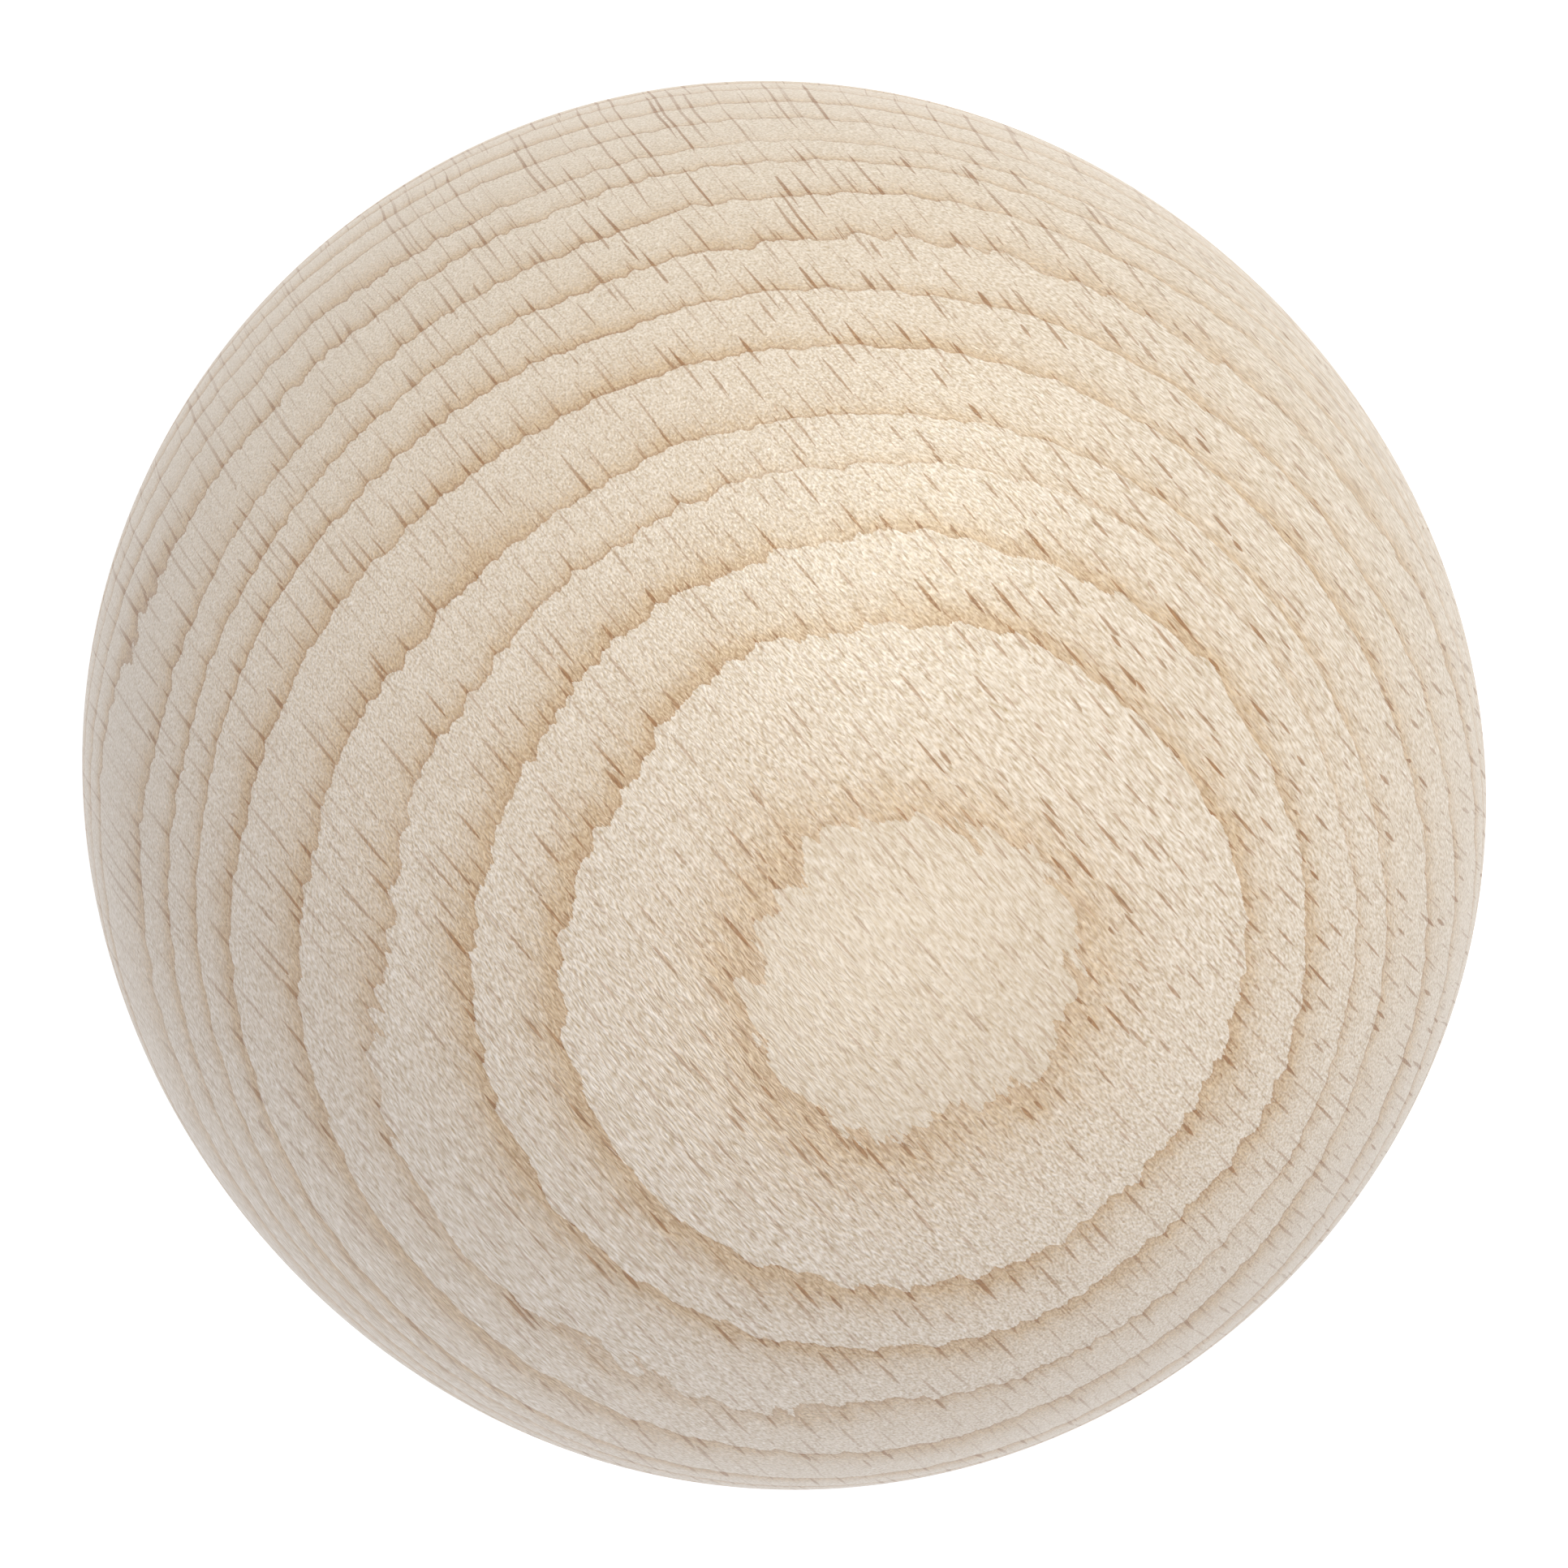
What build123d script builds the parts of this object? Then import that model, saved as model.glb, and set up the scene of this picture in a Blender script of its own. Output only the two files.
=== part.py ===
from build123d import *

import math
import os

# A turned beech ball, nominally 50 mm. It was turned about its grain direction from one billet
# with no hole, hollow or flat, so it is one solid. The wood shrank across the grain as it dried,
# which left the ball slightly long along the grain, a little fuller on one shoulder than on the
# other, and slightly flatter at its two ends and round its waist.
#
# Frame: origin at the middle of the ball. +X runs along the grain, which is also the axis the
# ball was turned about. +Z points to the side that faced the bark. Units are millimetres.

LENGTH_ALONG_GRAIN = 50.0  # from one end-grain pole to the other
DIAMETER_ACROSS_GRAIN = 48.7  # round the waist, at right angles to the grain
SHOULDER_FULLNESS = 0.16  # how far the shoulders at 45 degrees stand out of a plain oval
END_LEAN = 0.07  # how much more pointed the -X end is than the +X end
PROFILE_POINTS = 25  # points on the half outline, from pole to pole


def outline_radius(angle: float) -> float:
    """Distance from the ball's middle to its surface, at this angle from the -X pole."""
    oval = (LENGTH_ALONG_GRAIN - DIAMETER_ACROSS_GRAIN) / 4
    mean = (LENGTH_ALONG_GRAIN + DIAMETER_ACROSS_GRAIN + 2 * SHOULDER_FULLNESS) / 4
    shoulder = SHOULDER_FULLNESS / 2
    return (
        mean
        + oval * math.cos(2 * angle)
        + END_LEAN * math.cos(3 * angle)
        - shoulder * math.cos(4 * angle)
    )


def half_outline() -> Edge:
    """Smooth half outline in the XY plane, from the -X pole over the waist to the +X pole.

    The spline is measured by its own length, so the end tangents are unit vectors, unscaled.
    """
    points = []
    for step in range(PROFILE_POINTS):
        angle = math.pi * step / (PROFILE_POINTS - 1)
        radius = outline_radius(angle)
        points.append((-radius * math.cos(angle), radius * math.sin(angle)))
    return Edge.make_spline(points, tangents=[(0, 1), (0, -1)], scale=False)


def make_ball() -> Part:
    """The ball as one solid, turned about X."""
    outline = half_outline()
    axis_line = Edge.make_line(outline @ 1, outline @ 0)
    section = Face(Wire([outline, axis_line]))
    ball = revolve(section, axis=Axis.X)
    middle = ball.bounding_box().center()
    ball = ball.moved(Location(-middle))
    ball.label = "ball"
    return ball


os.makedirs("parts", exist_ok=True)
export_step(make_ball(), "parts/ball.step")
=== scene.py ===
import logging
import math
from dataclasses import dataclass, field
from enum import Enum
from itertools import accumulate

import bmesh
import bpy
from mathutils import Matrix, Vector


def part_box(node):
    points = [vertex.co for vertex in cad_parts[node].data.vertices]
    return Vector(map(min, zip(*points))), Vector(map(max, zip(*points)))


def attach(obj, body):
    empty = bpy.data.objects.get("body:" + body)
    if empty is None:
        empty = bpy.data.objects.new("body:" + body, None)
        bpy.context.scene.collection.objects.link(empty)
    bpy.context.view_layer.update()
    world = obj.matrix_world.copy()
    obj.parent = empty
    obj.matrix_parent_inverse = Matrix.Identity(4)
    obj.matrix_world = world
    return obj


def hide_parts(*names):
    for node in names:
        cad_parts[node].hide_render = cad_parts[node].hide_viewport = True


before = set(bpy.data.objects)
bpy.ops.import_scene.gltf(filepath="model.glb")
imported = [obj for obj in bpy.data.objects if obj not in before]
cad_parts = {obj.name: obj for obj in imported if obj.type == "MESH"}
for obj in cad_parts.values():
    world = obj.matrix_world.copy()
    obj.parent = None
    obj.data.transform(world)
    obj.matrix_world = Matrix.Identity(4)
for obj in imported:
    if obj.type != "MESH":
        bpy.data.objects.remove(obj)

# A turned beech ball, sanded and left bare. Metres, in the frame of the ball: the origin is its
# middle, +X runs along the grain, +Y across the grain along the rings, +Z to the bark side.
# The wood itself is worked out in millimetres, as a solid that the ball's surface cuts through,
# so rings, rays and fibres meet at every side as they do in a real billet.

log = logging.getLogger("beech_ball")

MM = 0.001
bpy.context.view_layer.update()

Socket = bpy.types.NodeSocket
Colour = tuple[float, float, float]
Size = tuple[float, float, float]
Span = tuple[float, float]
Profile = tuple[tuple[float, float], ...]


class Op(Enum):
    """The sums a Math node is asked for."""

    ADD = "ADD"
    SUBTRACT = "SUBTRACT"
    MULTIPLY = "MULTIPLY"
    DIVIDE = "DIVIDE"
    FRACTION = "FRACT"
    WHOLE = "FLOOR"
    LARGER = "MAXIMUM"
    SIZE = "ABSOLUTE"
    WAVE = "SINE"


class Handle(Enum):
    """How a curve runs through its points."""

    STRAIGHT = "VECTOR"
    SMOOTH = "AUTO"


def shade(red: int, green: int, blue: int) -> Colour:
    """A colour written as three display values from 0 to 255, in linear light.

    Args:
        red: Display value of red.
        green: Display value of green.
        blue: Display value of blue.

    Returns:
        The three linear values.
    """
    parts = (value / 255 for value in (red, green, blue))
    return tuple(p / 12.92 if p <= 0.04045 else ((p + 0.055) / 1.055) ** 2.4 for p in parts)


@dataclass(frozen=True)
class Lumps:
    """One kind of soft noise."""

    size: Size  # size of a lump along the grain, across it and through the rings, mm
    layers: float = 0.0  # how many finer layers are added
    rough: float = 0.5  # how strong each finer layer is


@dataclass
class Graph:
    """A material's nodes, with a short method for each kind that the wood needs."""

    tree: bpy.types.NodeTree

    def node(self, kind: str, **settings: object) -> bpy.types.Node:
        """Adds a node.

        Args:
            kind: The node's type.
            settings: Properties to set on it.

        Returns:
            The new node.
        """
        made = self.tree.nodes.new(kind)
        for name, value in settings.items():
            setattr(made, name, value)
        return made

    def feed(self, target: Socket, value: "Socket | float | Colour") -> None:
        """Links a socket to the target, or writes a plain value on it.

        Args:
            target: The input that takes the value.
            value: Another node's output, a number or three numbers.

        Returns:
            Nothing; the input holds the value afterwards.
        """
        if isinstance(value, Socket):
            self.tree.links.new(value, target)
        elif isinstance(value, tuple) and target.type == "RGBA":
            target.default_value = (*value, 1.0)
        else:
            target.default_value = value

    def sum(self, op: Op, first: "Socket | float", second: "Socket | float" = 0.0) -> Socket:
        """Does one sum on two numbers.

        Args:
            op: The sum.
            first: Its first number.
            second: Its second number, left out where the sum needs only one.

        Returns:
            The result's socket.
        """
        made = self.node("ShaderNodeMath", operation=op.value)
        self.feed(made.inputs[0], first)
        self.feed(made.inputs[1], second)
        return made.outputs[0]

    def total(self, *terms: Socket) -> Socket:
        """Adds up any number of terms.

        Args:
            terms: The numbers to add.

        Returns:
            Their total.
        """
        result = terms[0]
        for term in terms[1:]:
            result = self.sum(Op.ADD, result, term)
        return result

    def product(self, *factors: Socket) -> Socket:
        """Multiplies any number of factors.

        Args:
            factors: The numbers to multiply.

        Returns:
            Their product.
        """
        result = factors[0]
        for factor in factors[1:]:
            result = self.sum(Op.MULTIPLY, result, factor)
        return result

    def scaled(self, value: Socket, factor: float, start: float = 0.0) -> Socket:
        """Works out value times factor, plus start.

        Args:
            value: The number to scale.
            factor: What it is multiplied by.
            start: What is added afterwards.

        Returns:
            The result's socket.
        """
        made = self.node("ShaderNodeMath", operation="MULTIPLY_ADD")
        self.feed(made.inputs[0], value)
        self.feed(made.inputs[1], factor)
        self.feed(made.inputs[2], start)
        return made.outputs[0]

    def joined(self, x: "Socket | float", y: "Socket | float", z: "Socket | float") -> Socket:
        """Joins three numbers into one vector.

        Args:
            x: Its part along the grain.
            y: Its part across the grain.
            z: Its part towards the bark.

        Returns:
            The vector's socket.
        """
        made = self.node("ShaderNodeCombineXYZ")
        for target, value in zip(made.inputs, (x, y, z)):
            self.feed(target, value)
        return made.outputs[0]

    def parts(self, vector: Socket) -> tuple[Socket, Socket, Socket]:
        """Splits a vector into its three numbers.

        Args:
            vector: The vector, or a colour.

        Returns:
            Its three parts.
        """
        made = self.node("ShaderNodeSeparateXYZ")
        self.feed(made.inputs[0], vector)
        return tuple(made.outputs)

    def vector(self, op: Op, first: Socket, second: "Socket | Size") -> Socket:
        """Does one sum on two vectors, part by part.

        Args:
            op: The sum.
            first: Its first vector.
            second: Its second vector.

        Returns:
            The result's socket.
        """
        made = self.node("ShaderNodeVectorMath", operation=op.value)
        self.feed(made.inputs[0], first)
        self.feed(made.inputs[1], second)
        return made.outputs[0]

    def noise(self, place: Socket, lumps: Lumps) -> Socket:
        """Soft noise.

        Args:
            place: Position in millimetres.
            lumps: Which kind of noise.

        Returns:
            A number that swings about zero, from about -0.5 to 0.5.
        """
        made = self.node("ShaderNodeTexNoise", noise_dimensions="3D")
        self.feed(made.inputs["Vector"], self.vector(Op.DIVIDE, place, lumps.size))
        self.feed(made.inputs["Scale"], 1.0)
        self.feed(made.inputs["Detail"], lumps.layers)
        self.feed(made.inputs["Roughness"], lumps.rough)
        return self.scaled(made.outputs["Fac"], 1.0, -0.5)

    def cells(self, place: Socket, pitch: Size, scatter: float) -> bpy.types.Node:
        """Scattered cells.

        Args:
            place: Position in millimetres.
            pitch: Mean size of a cell, in millimetres.
            scatter: How far the cells stray from an even grid, 0 to 1.

        Returns:
            The Voronoi node itself, because several of its outputs are used.
        """
        made = self.node("ShaderNodeTexVoronoi", voronoi_dimensions="3D", feature="F1")
        self.feed(made.inputs["Vector"], self.vector(Op.DIVIDE, place, pitch))
        self.feed(made.inputs["Scale"], 1.0)
        self.feed(made.inputs["Randomness"], scatter)
        return made

    def step(self, value: Socket, low: float, high: float) -> Socket:
        """Rises smoothly from 0 at low to 1 at high, or falls where low is above high.

        Args:
            value: The number to read.
            low: Where the result is 0.
            high: Where the result is 1.

        Returns:
            A number from 0 to 1.
        """
        rising = low < high
        made = self.node("ShaderNodeMapRange", interpolation_type="SMOOTHSTEP")
        self.feed(made.inputs["Value"], value)
        self.feed(made.inputs["From Min"], min(low, high))
        self.feed(made.inputs["From Max"], max(low, high))
        self.feed(made.inputs["To Min"], 0.0 if rising else 1.0)
        self.feed(made.inputs["To Max"], 1.0 if rising else 0.0)
        return made.outputs["Result"]

    def curve(self, value: Socket, points: Profile, handle: Handle = Handle.SMOOTH) -> Socket:
        """Follows a curve through the given points, in the points' own units.

        Args:
            value: Where to read the curve.
            points: The curve's points, from left to right.
            handle: Whether it runs straight or smoothly from point to point.

        Returns:
            The curve's height at the value.
        """
        left, right = points[0][0], points[-1][0]
        low, high = min(p[1] for p in points), max(p[1] for p in points)
        made = self.node("ShaderNodeFloatCurve")
        line = made.mapping.curves[0]
        while len(line.points) < len(points):
            line.points.new(0.5, 0.5)
        for held, (x, y) in zip(line.points, points):
            held.location = ((x - left) / (right - left), (y - low) / (high - low))
            held.handle_type = handle.value
        made.mapping.update()
        self.feed(made.inputs["Value"], self.scaled(value, 1 / (right - left), -left / (right - left)))
        return self.scaled(made.outputs[0], high - low, low)

    def blend(self, amount: Socket, first: "Socket | Colour", second: "Socket | Colour") -> Socket:
        """Goes from the first colour to the second as the amount goes from 0 to 1.

        Args:
            amount: How much of the second colour.
            first: The colour at 0.
            second: The colour at 1.

        Returns:
            The blended colour.
        """
        made = self.node("ShaderNodeMix", data_type="RGBA", clamp_factor=True)
        ins = [socket for socket in made.inputs if socket.type == "RGBA"]
        outs = [socket for socket in made.outputs if socket.type == "RGBA"]
        self.feed(made.inputs["Factor"], amount)
        self.feed(ins[0], first)
        self.feed(ins[1], second)
        return outs[0]

    def shaded(self, colour: Socket, change: Socket, weights: Colour) -> Socket:
        """Makes a colour lighter or darker, more in some of its three parts than in others.

        Args:
            colour: The colour to change.
            change: How much lighter, as a share: 0 leaves it, below 0 darkens it.
            weights: How strongly red, green and blue follow the change.

        Returns:
            The changed colour.
        """
        factor = self.node("ShaderNodeVectorMath", operation="MULTIPLY_ADD")
        self.feed(factor.inputs[0], change)
        self.feed(factor.inputs[1], weights)
        self.feed(factor.inputs[2], (1.0, 1.0, 1.0))
        return self.vector(Op.MULTIPLY, colour, factor.outputs[0])


@dataclass(frozen=True)
class GrowthRings:
    """The tree's growth rings, as depths in mm below the bark-side pole of the ball."""

    pole: float = 24.35  # height of that pole above the ball's middle
    newest_start: float = -1.8  # the newest ring begins above the pole, outside the ball
    widths: tuple[float, ...] = (
        2.4, 2.3, 1.6, 1.8, 1.8, 2.8, 2.3, 2.0, 1.7, 1.9, 1.3, 2.0, 1.9, 2.2,
        1.8, 2.3, 1.8, 1.8, 2.3, 1.8, 2.1, 2.3, 1.8, 1.9, 2.3, 2.6, 3.0,
    )
    # Rings were wider on one side in some years, so the deeper ones lean: (depth, slope).
    lean_across: Profile = (
        (-2.0, 0.0), (4.5, 0.0), (8.5, 0.09), (12.0, 0.10), (16.0, 0.04), (20.0, 0.07),
        (25.0, 0.12), (54.0, 0.08),
    )
    lean_along: Profile = (
        (-2.0, 0.0), (5.0, 0.0), (12.0, -0.02), (20.0, 0.04), (25.0, 0.09), (54.0, 0.03),
    )
    cupping: float = 0.00065  # how fast the rings curve back, per mm
    waves: Lumps = Lumps((12.0, 8.0, 8.0), 1.0)
    wander: float = 0.9  # how far the slow waves carry a ring
    torn: Lumps = Lumps((1.6, 0.34, 0.8), 4.0, 0.7)
    teeth: float = 0.33  # how far a ring's edge is torn, along the fibres
    scallop: float = 0.30  # how far a ring dips in where a ray crosses it
    scallop_level: float = 0.4  # distance from a ray at which a ring keeps its own depth
    fade: Profile = (
        (0.0, 1.0), (0.1, 0.8), (0.22, 0.48), (0.42, 0.24), (0.7, 0.08), (1.0, 0.0),
    )
    edge_width: float = 0.07  # width of the thin dark line, as a share of the ring
    faintest_year: float = 0.7
    year_range: float = 0.5  # how much stronger than the faintest year the darkest one is
    patches: Lumps = Lumps((9.0, 4.0, 3.0), 2.0)
    patch_mean: float = 0.95
    patch_swing: float = 1.5
    # painted highlight: the late wood is paled on the +Y side, the side the key lamp lights, as if its
    # gloss washed the rings out
    lit_side_paling: float = 0.3  # how much the late wood pales towards +Y

    def depth(self, graph: Graph, place: Socket, spread: Socket) -> Socket:
        """Depth through the rings, with their lean, waves and torn edges.

        Args:
            graph: The wood's nodes.
            place: Position in millimetres.
            spread: Distance from the nearest ray, about 0 to 0.6.

        Returns:
            Depth in millimetres on the rings' own scale.
        """
        along, across, up = graph.parts(place)
        plain = graph.scaled(up, -1.0, self.pole)
        bend = graph.sum(Op.SUBTRACT, graph.product(along, along), graph.product(across, across))
        return graph.total(
            plain,
            graph.product(across, graph.curve(plain, self.lean_across)),
            graph.product(along, graph.curve(plain, self.lean_along)),
            graph.scaled(bend, self.cupping),
            graph.scaled(graph.noise(place, self.waves), self.wander),
            graph.scaled(spread, self.scallop, -self.scallop_level * self.scallop),
            graph.scaled(graph.noise(place, self.torn), self.teeth),
        )

    def lay(
        self, graph: Graph, place: Socket, spread: Socket, near: Socket
    ) -> tuple[Socket, Socket, Socket]:
        """Works out how dark the ring is at a place.

        Args:
            graph: The wood's nodes.
            place: Position in millimetres.
            spread: Distance from the nearest ray.
            near: 1 on the +Y side of the ball, 0 past its middle.

        Returns:
            The strength of the late wood and of the thin line at the ring's edge, each 0 to 1,
            and 1 in the newest year's wood, the cap at the bark side, or 0 in older wood.
        """
        depth = self.depth(graph, place, spread)
        starts = accumulate(self.widths, initial=self.newest_start)
        counted = tuple((start, float(number)) for number, start in enumerate(starts))
        number = graph.curve(depth, counted, Handle.STRAIGHT)
        phase = graph.sum(Op.FRACTION, number)
        ring = graph.sum(Op.WHOLE, number)
        chance = graph.node("ShaderNodeTexWhiteNoise", noise_dimensions="1D")
        graph.feed(chance.inputs["W"], ring)
        year = graph.scaled(chance.outputs["Value"], self.year_range, self.faintest_year)
        patches = graph.scaled(graph.noise(place, self.patches), self.patch_swing, self.patch_mean)
        # painted highlight: the late wood pales towards +Y, the side the key lamp lights
        painted_highlight_paling = graph.scaled(near, -self.lit_side_paling, 1.0)
        late = graph.product(graph.curve(phase, self.fade), year, patches, painted_highlight_paling)
        edge = graph.product(graph.step(phase, self.edge_width, 0.0), patches)
        return late, edge, graph.step(ring, 1.0, 0.0)


@dataclass(frozen=True)
class NearestRay:
    """The ray nearest to a place."""

    inside: Socket  # 1 in the ray's middle, 0 at its edge and less outside
    bold: Socket  # how bold that ray is, 0 to 1
    distance: Socket  # how far off its middle is, in spacings


@dataclass(frozen=True)
class Rays:
    """The wood rays: thin upright sheets that run from pith to bark. Sizes in mm."""

    pitch: Size  # spacing along the grain, across it and from pith to bark
    height: float  # half height of a middling ray, along the grain
    thickness: float  # half thickness of a middling ray
    scatter: float = 0.9  # how far the rays stray from even spacing
    shortest: float = 0.5  # the shortest ray, as a share of the height
    thinnest: float = 0.4  # the thinnest ray, as a share of the thickness
    thickening: float = 0.6  # how much thicker than that chance makes a ray, as a share too
    boldening: float = 0.7  # how much thicker still a bold ray is, as a share too
    shrink: float = 0.012  # how much shorter the rays are for each mm across the grain

    def lay(self, graph: Graph, place: Socket) -> NearestRay:
        """Scatters the rays.

        Args:
            graph: The wood's nodes.
            place: Position in millimetres, with the rays' sideways wander taken out.

        Returns:
            The ray nearest to the place.
        """
        cells = graph.cells(place, self.pitch, self.scatter)
        middle = graph.vector(Op.MULTIPLY, cells.outputs["Position"], self.pitch)
        along, across, _ = graph.parts(graph.vector(Op.SUBTRACT, place, middle))
        chance, shape, bold = graph.parts(cells.outputs["Color"])
        side = graph.parts(middle)[1]
        tall = graph.scaled(chance, self.height, self.shortest * self.height)
        tall = graph.product(tall, graph.scaled(side, -self.shrink, 1.0))
        thick = graph.total(
            graph.scaled(shape, self.thickening * self.thickness, self.thinnest * self.thickness),
            graph.scaled(bold, self.boldening * self.thickness),
        )
        reach = graph.sum(Op.DIVIDE, along, tall)
        taper = graph.scaled(graph.product(reach, reach), -1.0, 1.0)
        width = graph.sum(Op.SIZE, graph.sum(Op.DIVIDE, across, thick))
        inside = graph.sum(Op.SUBTRACT, taper, width)
        return NearestRay(inside=inside, bold=bold, distance=cells.outputs["Distance"])


@dataclass(frozen=True)
class Figure:
    """What the wood is like at a place."""

    across: Socket  # distance from the middle across the grain, mm
    near: Socket  # 1 on the +Y side of the ball, 0 past its middle
    ends: Socket  # 1 where the surface cuts right across the fibres, 0 where it follows them
    late: Socket  # late wood, 0 to 1
    edge: Socket  # the thin line at a ring's edge, 0 to 1
    newest: Socket  # 1 in the newest year's wood
    broad: NearestRay
    fine: NearestRay
    fibre: Socket
    streak: Socket
    curl: Socket
    grain: Socket


@dataclass(frozen=True)
class BareBeech:
    """Fine-sanded beech with no finish on it. Sizes are in mm, and strengths are shares."""

    name: str = "bare_beech"
    pale_colour: Colour = shade(232, 217, 198)
    late_colour: Colour = shade(212, 184, 148)
    edge_colour: Colour = shade(170, 132, 98)
    # pits: partly darker wood, partly painted shade in the hollows of the raised grain
    pit_and_shade_colour: Colour = shade(186, 150, 112)
    ray_colour: Colour = shade(157, 112, 65)

    rings: GrowthRings = field(default_factory=GrowthRings)
    broad_rays: Rays = Rays(pitch=(1.65, 0.64, 26.0), height=0.74, thickness=0.05)
    fine_rays: Rays = Rays(pitch=(0.9, 0.34, 9.0), height=0.36, thickness=0.026)
    sway: Lumps = Lumps((14.0, 7.0, 6.0), 2.0)
    sway_reach: float = 0.45  # how far the rays wander sideways

    fibre: Lumps = Lumps((2.0, 0.1, 0.1), 2.0, 0.75)
    streak: Lumps = Lumps((6.0, 0.4, 0.4), 2.0, 0.6)
    curl: Lumps = Lumps((0.65, 0.21, 0.21), 1.0, 0.6)
    curl_turns: float = 30.0  # how often the curl turns over, in radians
    grain: Lumps = Lumps((0.36, 0.075, 0.075))

    near_side: Span = (-3.0, 13.0)  # across the grain, from just past the middle to well on +Y
    end_cut: Span = (4.0, 24.0)  # along the grain, from long grain to end grain
    ray_faces: Span = (24.5, 19.0)  # across the grain, from along a ray's face to across its edge

    ripening: Span = (-0.05, 0.98)  # late wood at which the colour starts and stops changing
    fibre_in_late: float = 0.7
    curl_in_late: float = 0.16
    streak_in_late: float = 0.45
    line: float = 0.2  # the line at a ring's edge, on long grain
    line_at_ends: float = 0.6  # what end grain adds to it
    # darkening at the pits: partly darker wood, partly painted shade in the raised grain's hollows
    pit_and_shade: float = 0.14
    pit_and_shade_in_late: float = 0.45  # what late wood adds to the pits

    hair_softness: Span = (0.0, 0.6)
    hair_boldness: Span = (0.5, 0.8)  # only the boldest fine rays show well
    hair_middle: float = 0.75
    hair_side: float = 0.03  # for each mm towards +Y
    hair_faint: float = 0.1
    hair_bold: float = 0.6
    hair_in_pale: float = 0.5
    hair_in_late: float = 0.8

    dash_softness: Span = (0.0, 0.5)
    dash_spread: float = 0.3  # how much wider a ray shows in late wood
    dash_in_pale: float = 0.3
    dash_in_late: float = 0.6
    dash_near: float = 0.24  # what the +Y side adds
    dash_faint: float = 0.45
    dash_bold: float = 0.9
    dash_on_face: float = 0.25  # what is left of it where the surface runs along a ray's face

    fibre_tone: float = 0.33
    streak_tone: float = 0.08
    # painted highlight and shade, with the wood's own speckle: grain and curl lighten the colour where
    # the relief stands up and darken it in its hollows
    grain_tone_and_shade: float = 1.05
    grain_at_ends: float = -0.35
    curl_tone_and_shade: float = 0.05
    newest_calm: float = 0.35  # how much plainer the newest wood is
    newest_tone: float = -0.11
    # blue follows most, so the lighter grain goes whiter, as a painted highlight, and the darker goes
    # browner, as painted shade
    tone_weights: Colour = (0.75, 0.95, 1.3)

    roughness: float = 0.39
    roughness_swing: float = 0.3
    specular: float = 1.0
    curl_relief: float = 0.005
    grain_relief: float = 0.03
    relief_calm: float = 0.3  # how much smoother the newest wood is
    relief_strength: float = 0.9

    def figure(self, graph: Graph) -> Figure:
        """Works out the wood at a place from its Object coordinates.

        Args:
            graph: The wood's nodes.

        Returns:
            The wood at that place.
        """
        source = graph.node("ShaderNodeTexCoord").outputs["Object"]
        place = graph.vector(Op.DIVIDE, source, (MM, MM, MM))
        along, across, _ = graph.parts(place)
        near = graph.step(across, *self.near_side)
        sway = graph.scaled(graph.noise(place, self.sway), self.sway_reach)
        swayed = graph.vector(Op.ADD, place, graph.joined(0.0, sway, 0.0))
        broad = self.broad_rays.lay(graph, swayed)
        late, edge, newest = self.rings.lay(graph, place, broad.distance, near)
        return Figure(
            across=across,
            near=near,
            ends=graph.step(graph.sum(Op.SIZE, along), *self.end_cut),
            late=late,
            edge=edge,
            newest=newest,
            broad=broad,
            fine=self.fine_rays.lay(graph, swayed),
            fibre=graph.noise(place, self.fibre),
            streak=graph.noise(place, self.streak),
            curl=graph.sum(Op.WAVE, graph.scaled(graph.noise(place, self.curl), self.curl_turns)),
            grain=graph.noise(place, self.grain),
        )

    def ring_colour(self, graph: Graph, wood: Figure) -> Socket:
        """Colour of the rings, with their edges and the pits between the fibres; the pits are partly
        darker wood and partly painted shade in the hollows of the raised grain.

        Args:
            graph: The wood's nodes.
            wood: The wood at a place.

        Returns:
            The colour.
        """
        speckle = graph.total(
            graph.scaled(wood.fibre, self.fibre_in_late),
            graph.scaled(wood.curl, self.curl_in_late),
            graph.scaled(wood.streak, self.streak_in_late),
        )
        ripe = graph.step(graph.total(wood.late, speckle), *self.ripening)
        colour = graph.blend(ripe, self.pale_colour, self.late_colour)
        lined = graph.product(wood.edge, graph.scaled(wood.ends, self.line_at_ends, self.line))
        colour = graph.blend(lined, colour, self.edge_colour)
        # painted shade with some darker wood: the pit colour goes where the curl is low, in the
        # hollows of the relief
        low = graph.step(wood.curl, 0.0, -1.0)
        pitted_and_shaded = graph.product(low, graph.scaled(wood.late, self.pit_and_shade_in_late, self.pit_and_shade))
        return graph.blend(pitted_and_shaded, colour, self.pit_and_shade_colour)

    def hairs(self, graph: Graph, wood: Figure) -> Socket:
        """How strongly the fine rays show, as short hairs.

        Args:
            graph: The wood's nodes.
            wood: The wood at a place.

        Returns:
            A strength, from 0 to about 1.
        """
        side = graph.scaled(wood.across, self.hair_side, self.hair_middle)
        bold = graph.product(graph.step(wood.fine.bold, *self.hair_boldness), side)
        return graph.product(
            graph.scaled(bold, self.hair_bold, self.hair_faint),
            graph.scaled(wood.late, self.hair_in_late, self.hair_in_pale),
            graph.step(wood.fine.inside, *self.hair_softness),
        )

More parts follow.
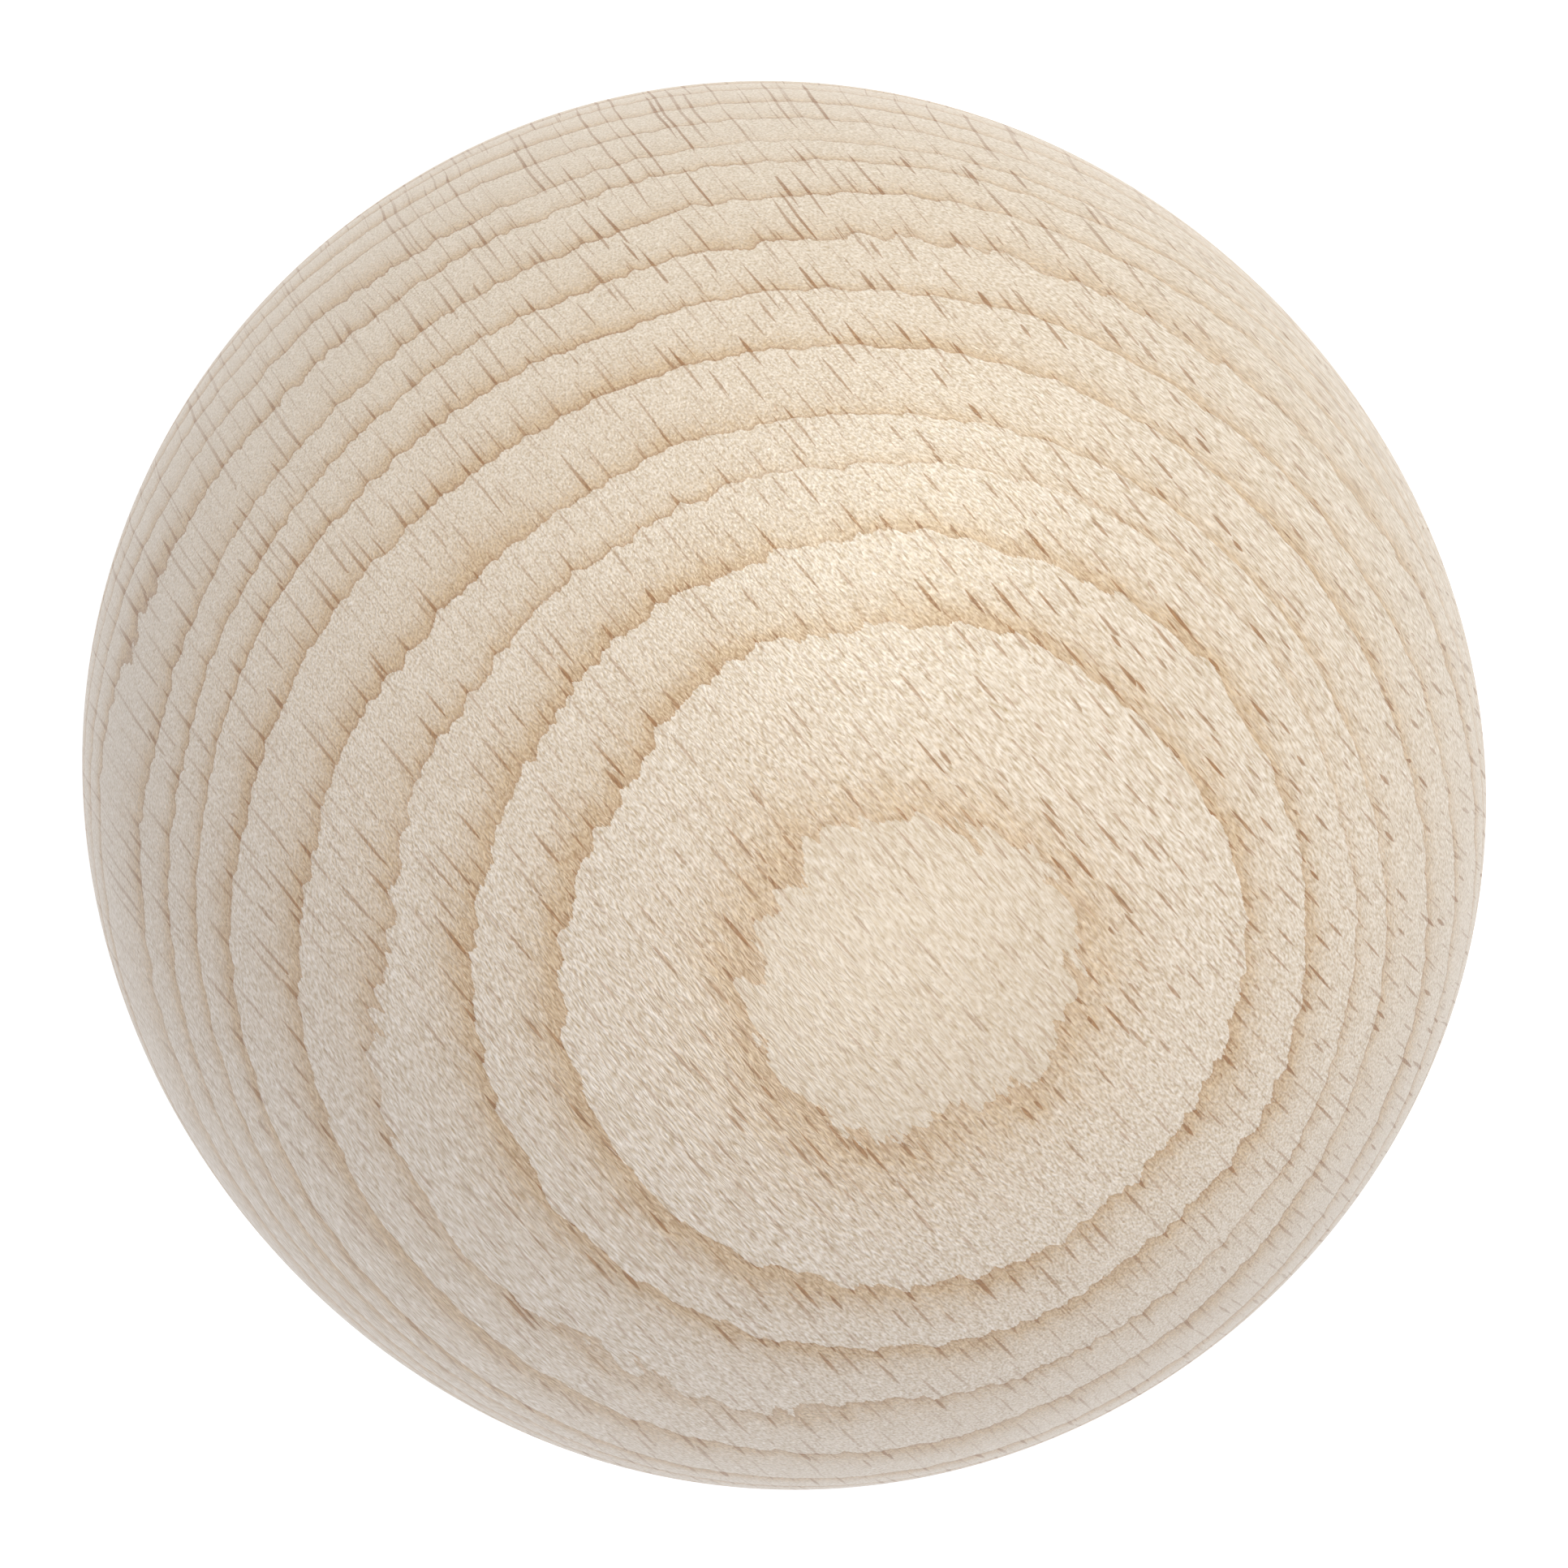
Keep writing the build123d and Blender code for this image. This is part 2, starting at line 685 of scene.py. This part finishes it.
    def dashes(self, graph: Graph, wood: Figure) -> Socket:
        """How strongly the broad rays show, as dashes.

        Args:
            graph: The wood's nodes.
            wood: The wood at a place.

        Returns:
            A strength, from 0 to about 1.
        """
        shown = graph.total(wood.broad.inside, graph.scaled(wood.late, self.dash_spread))
        strength = graph.total(
            graph.scaled(wood.late, self.dash_in_late, self.dash_in_pale),
            graph.scaled(wood.near, self.dash_near),
        )
        crossed = graph.step(graph.sum(Op.SIZE, wood.across), *self.ray_faces)
        return graph.product(
            graph.step(shown, *self.dash_softness),
            strength,
            graph.scaled(wood.broad.bold, self.dash_bold, self.dash_faint),
            graph.scaled(crossed, 1.0 - self.dash_on_face, self.dash_on_face),
        )

    def tone_and_relief_shade(self, graph: Graph, wood: Figure) -> Socket:
        """How much lighter or darker the fibres and the fine grain make the wood: partly the wood's
        own speckle, partly painted highlight and shade of the raised grain, lighter where its relief
        stands up and darker in its hollows.

        Args:
            graph: The wood's nodes.
            wood: The wood at a place.

        Returns:
            The change, as a share of the colour.
        """
        # painted highlight and shade: the grain and curl follow the relief's heights
        grained = graph.scaled(wood.ends, self.grain_at_ends, self.grain_tone_and_shade)
        swing = graph.total(
            graph.scaled(wood.fibre, self.fibre_tone),
            graph.scaled(wood.streak, self.streak_tone),
            graph.product(wood.grain, grained),
            graph.scaled(wood.curl, self.curl_tone_and_shade),
        )
        swing = graph.product(swing, graph.scaled(wood.newest, -self.newest_calm, 1.0))
        return graph.total(swing, graph.scaled(wood.newest, self.newest_tone))

    def relief(self, graph: Graph, wood: Figure) -> Socket:
        """The raised grain that fine sanding leaves.

        Args:
            graph: The wood's nodes.
            wood: The wood at a place.

        Returns:
            The surface's turned normal.
        """
        height = graph.total(
            graph.scaled(wood.curl, self.curl_relief),
            graph.scaled(wood.grain, self.grain_relief),
        )
        height = graph.product(height, graph.scaled(wood.newest, -self.relief_calm, 1.0))
        bump = graph.node("ShaderNodeBump")
        graph.feed(bump.inputs["Strength"], self.relief_strength)
        graph.feed(bump.inputs["Distance"], MM)
        graph.feed(bump.inputs["Height"], height)
        return bump.outputs["Normal"]

    def build(self) -> bpy.types.Material:
        """Makes the material.

        Returns:
            The material, with its colour, roughness and relief worked out from the same wood.
        """
        material = bpy.data.materials.new(self.name)
        material.use_nodes = True
        graph = Graph(material.node_tree)
        wood = self.figure(graph)
        colour = self.ring_colour(graph, wood)
        colour = graph.blend(self.hairs(graph, wood), colour, self.ray_colour)
        colour = graph.blend(self.dashes(graph, wood), colour, self.ray_colour)
        colour = graph.shaded(colour, self.tone_and_relief_shade(graph, wood), self.tone_weights)
        dull = graph.scaled(wood.fibre, self.roughness_swing, self.roughness)
        shader = material.node_tree.nodes["Principled BSDF"]
        graph.feed(shader.inputs["Base Color"], colour)
        graph.feed(shader.inputs["Roughness"], dull)
        graph.feed(shader.inputs["Specular IOR Level"], self.specular)
        graph.feed(shader.inputs["Normal"], self.relief(graph, wood))
        return material


@dataclass
class TurnedBall:
    """The ball itself: one piece, turned about its grain and moved a little by drying."""

    length: float  # along the grain, m
    width: float  # across the grain, m
    fullness: float = 0.16 * MM  # how far the shoulders at 45 degrees stand out of an oval
    end_lean: float = 0.07 * MM  # how much more pointed the -X end is
    inset: float = 0.004 * MM  # keeps the skin just inside the solid
    cuts: int = 124  # cuts across each of the six sides
    gap: float = 0.012  # bare margin round each side on the flat map
    wood: BareBeech = field(default_factory=BareBeech)

    def radius(self, angle: float) -> float:
        """Distance from the middle to the surface.

        Args:
            angle: Angle from the -X pole, in radians.

        Returns:
            The distance in metres.
        """
        oval = (self.length - self.width) / 4
        mean = (self.length + self.width + 2 * self.fullness) / 4
        waves = oval * math.cos(2 * angle) + self.end_lean * math.cos(3 * angle)
        return mean + waves - self.fullness / 2 * math.cos(4 * angle) - self.inset

    def on_surface(self, corner: Vector) -> Vector:
        """Carries a point of the unit cube out to the turned surface.

        Args:
            corner: A point on the cube's skin, each part from -1 to 1.

        Returns:
            The point of the ball that lies in the matching direction.
        """
        even = Vector(math.tan(part * math.pi / 4) for part in corner).normalized()
        angle = math.acos(max(-1.0, min(1.0, -even.x)))
        return even * self.radius(angle) + Vector((self.end_lean, 0.0, 0.0))

    def flat_map(self, mesh: bmesh.types.BMesh) -> None:
        """Lays the cube's six sides out on a map three sides wide and two high.

        Args:
            mesh: The cut cube, before it is rounded.

        Returns:
            Nothing; the map is written on the mesh.
        """
        layer = mesh.loops.layers.uv.new("OFBake")
        for face in mesh.faces:
            axis = max(range(3), key=lambda i: abs(face.normal[i]))
            row = int(face.normal[axis] > 0)
            others = [i for i in range(3) if i != axis]
            for loop in face.loops:
                across, up = ((loop.vert.co[i] + 1) / 2 for i in others)
                if row:
                    across = 1 - across
                loop[layer].uv = (
                    (axis + self.gap + across * (1 - 2 * self.gap)) / 3,
                    (row + self.gap + up * (1 - 2 * self.gap)) / 2,
                )

    def build(self) -> bpy.types.Object:
        """Makes the ball's mesh from an evenly cut cube, and dresses it.

        Returns:
            The ball's object, at the origin.
        """
        mesh = bmesh.new()
        bmesh.ops.create_cube(mesh, size=2.0)
        bmesh.ops.subdivide_edges(mesh, edges=mesh.edges[:], cuts=self.cuts, use_grid_fill=True)
        mesh.normal_update()
        self.flat_map(mesh)
        for vert in mesh.verts:
            vert.co = self.on_surface(vert.co)
        for face in mesh.faces:
            face.smooth = True
        bmesh.ops.recalc_face_normals(mesh, faces=mesh.faces[:])
        data = bpy.data.meshes.new("turned_ball")
        mesh.to_mesh(data)
        mesh.free()
        ball = bpy.data.objects.new("turned_ball", data)
        bpy.context.scene.collection.objects.link(ball)
        data.materials.append(self.wood.build())
        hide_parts("ball")
        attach(ball, "root")
        log.info("%s: %d faces, dressed in %s", ball.name, len(data.polygons), self.wood.name)
        return ball


@dataclass
class Viewpoint:
    """The camera, looking down on the bark side from a little towards the -X end."""

    half_length: float  # half the ball's length, m
    tuck: float = 0.25 * MM  # how far inside that its outline lies, seen from here
    towards: Vector = field(default_factory=lambda: Vector((-0.324, 0.037, 0.945)).normalized())
    grain_slope: float = math.radians(-49.0)  # how the grain runs across the picture
    distance: float = 0.494
    fill: float = 0.895  # the ball's share of the picture's width
    shift: tuple[float, float] = (0.0015, -0.0006)
    sensor: float = 36.0  # mm
    nearest: float = 0.01
    farthest: float = 20.0

    def axes(self) -> Matrix:
        """The camera's own directions.

        Returns:
            Its right, up and back directions, as the columns of a turn.
        """
        back = self.towards
        grain = Vector((1.0, 0.0, 0.0))
        grain = (grain - grain.dot(back) * back).normalized()
        side = back.cross(grain)
        cos, sin = math.cos(self.grain_slope), math.sin(self.grain_slope)
        right = grain * cos - side * sin
        up = grain * sin + side * cos
        return Matrix((right, up, back)).transposed()

    def build(self) -> bpy.types.Object:
        """Makes the camera and gives it to the scene.

        Returns:
            The camera's object.
        """
        lens = bpy.data.cameras.new("camera")
        lens.sensor_width = self.sensor
        seen = math.asin((self.half_length - self.tuck) / self.distance)
        lens.lens = lens.sensor_width / 2 / (math.tan(seen) / self.fill)
        lens.shift_x, lens.shift_y = self.shift
        lens.clip_start, lens.clip_end = self.nearest, self.farthest
        camera = bpy.data.objects.new("camera", lens)
        place = Matrix.Translation(self.towards * self.distance)
        camera.matrix_world = place @ self.axes().to_4x4()
        bpy.context.scene.collection.objects.link(camera)
        bpy.context.scene.camera = camera
        log.info("camera: %.0f mm lens, %.2f m away", lens.lens, self.distance)
        return camera


@dataclass(frozen=True)
class Softbox:
    """One soft round lamp, placed by the camera's own right, up and back directions."""

    name: str
    place: Size  # m
    size: float  # across the lamp, m
    watts: float
    tint: Colour

    def build(self, axes: Matrix) -> bpy.types.Object:
        """Hangs the lamp and turns it to the ball.

        Args:
            axes: The camera's right, up and back directions.

        Returns:
            The lamp's object.
        """
        lamp = bpy.data.lights.new(self.name, "AREA")
        lamp.shape = "DISK"
        lamp.size = self.size
        lamp.energy = self.watts
        lamp.color = self.tint
        held = bpy.data.objects.new(self.name, lamp)
        spot = axes @ Vector(self.place)
        turn = spot.to_track_quat("Z", "Y").to_matrix().to_4x4()
        held.matrix_world = Matrix.Translation(spot) @ turn
        bpy.context.scene.collection.objects.link(held)
        log.info("lamp %s: %.1f W", self.name, self.watts)
        return held


def seen_white(graph: Graph) -> Socket:
    """Tells looking at the white surroundings from being lit by them.

    Args:
        graph: The nodes of the surroundings.

    Returns:
        1 where the camera, a reflection or clear glass looks at them, 0 for their light.
    """
    path = graph.node("ShaderNodeLightPath")
    seen = graph.sum(Op.LARGER, path.outputs["Is Camera Ray"], path.outputs["Is Glossy Ray"])
    return graph.sum(Op.LARGER, seen, path.outputs["Is Transmission Ray"])


@dataclass
class Studio:
    """A plain white floor, an even white room and two soft lamps."""

    floor_level: float
    floor_size: float = 6.0
    floor_cuts: int = 4
    white: Colour = (1.0, 1.0, 1.0)
    room: Colour = (0.475, 0.495, 0.56)
    floor_paint: Colour = (0.8, 0.8, 0.8)  # what lights the ball from below
    floor_seen: Colour = (0.35, 0.35, 0.35)  # what the eye sees, under the glow
    floor_glow: float = 0.86
    floor_roughness: float = 0.9
    floor_specular: float = 0.1
    lamps: tuple[Softbox, ...] = (
        Softbox("key_lamp", (0.22, 0.385, 0.48), 0.28, 1.66, (1.0, 0.955, 0.76)),
        Softbox("fill_lamp", (0.16, -0.28, 0.56), 0.30, 1.05, (1.0, 0.97, 0.87)),
    )

    def white_world(self) -> bpy.types.World:
        """Makes an even room light that the camera sees as plain white.

        Returns:
            The world.
        """
        world = bpy.data.worlds.new("room")
        bpy.context.scene.world = world
        world.use_nodes = True
        graph = Graph(world.node_tree)
        ground = world.node_tree.nodes["Background"]
        graph.feed(ground.inputs["Color"], graph.blend(seen_white(graph), self.room, self.white))
        return world

    def floor_finish(self) -> bpy.types.Material:
        """White floor paint: the camera sees it lifted to white, with the ball's shadow kept.

        Returns:
            The floor's material.
        """
        material = bpy.data.materials.new("white_floor")
        material.use_nodes = True
        graph = Graph(material.node_tree)
        shader = material.node_tree.nodes["Principled BSDF"]
        seen = seen_white(graph)
        graph.feed(shader.inputs["Base Color"], graph.blend(seen, self.floor_paint, self.floor_seen))
        graph.feed(shader.inputs["Roughness"], self.floor_roughness)
        graph.feed(shader.inputs["Specular IOR Level"], self.floor_specular)
        graph.feed(shader.inputs["Emission Color"], self.white)
        graph.feed(shader.inputs["Emission Strength"], graph.scaled(seen, self.floor_glow))
        return material

    def floor(self) -> bpy.types.Object:
        """Lays the floor just under the ball.

        Returns:
            The floor's object.
        """
        mesh = bmesh.new()
        bmesh.ops.create_grid(
            mesh,
            x_segments=self.floor_cuts,
            y_segments=self.floor_cuts,
            size=self.floor_size / 2,
            matrix=Matrix.Translation((0.0, 0.0, self.floor_level)),
        )
        data = bpy.data.meshes.new("floor")
        mesh.to_mesh(data)
        mesh.free()
        laid = bpy.data.objects.new("floor", data)
        bpy.context.scene.collection.objects.link(laid)
        data.materials.append(self.floor_finish())
        return laid

    def build(self, axes: Matrix) -> None:
        """Sets up the floor, the room light and the lamps.

        Args:
            axes: The camera's right, up and back directions, which the lamps hang by.

        Returns:
            Nothing; everything is in the scene afterwards.
        """
        self.white_world()
        self.floor()
        for lamp in self.lamps:
            lamp.build(axes)


def main() -> None:
    """Builds the camera, the studio and the ball.

    Returns:
        Nothing; the scene is ready to be finished afterwards.
    """
    logging.basicConfig(level=logging.INFO, format="%(name)s: %(message)s")
    low, high = (Vector(corner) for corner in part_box("ball"))
    size = high - low
    view = Viewpoint(half_length=size.x / 2)
    view.build()
    Studio(floor_level=low.z).build(view.axes())
    TurnedBall(length=size.x, width=size.z).build()
    bpy.context.scene.view_settings.view_transform = "Standard"


if __name__ == "__main__":
    main()
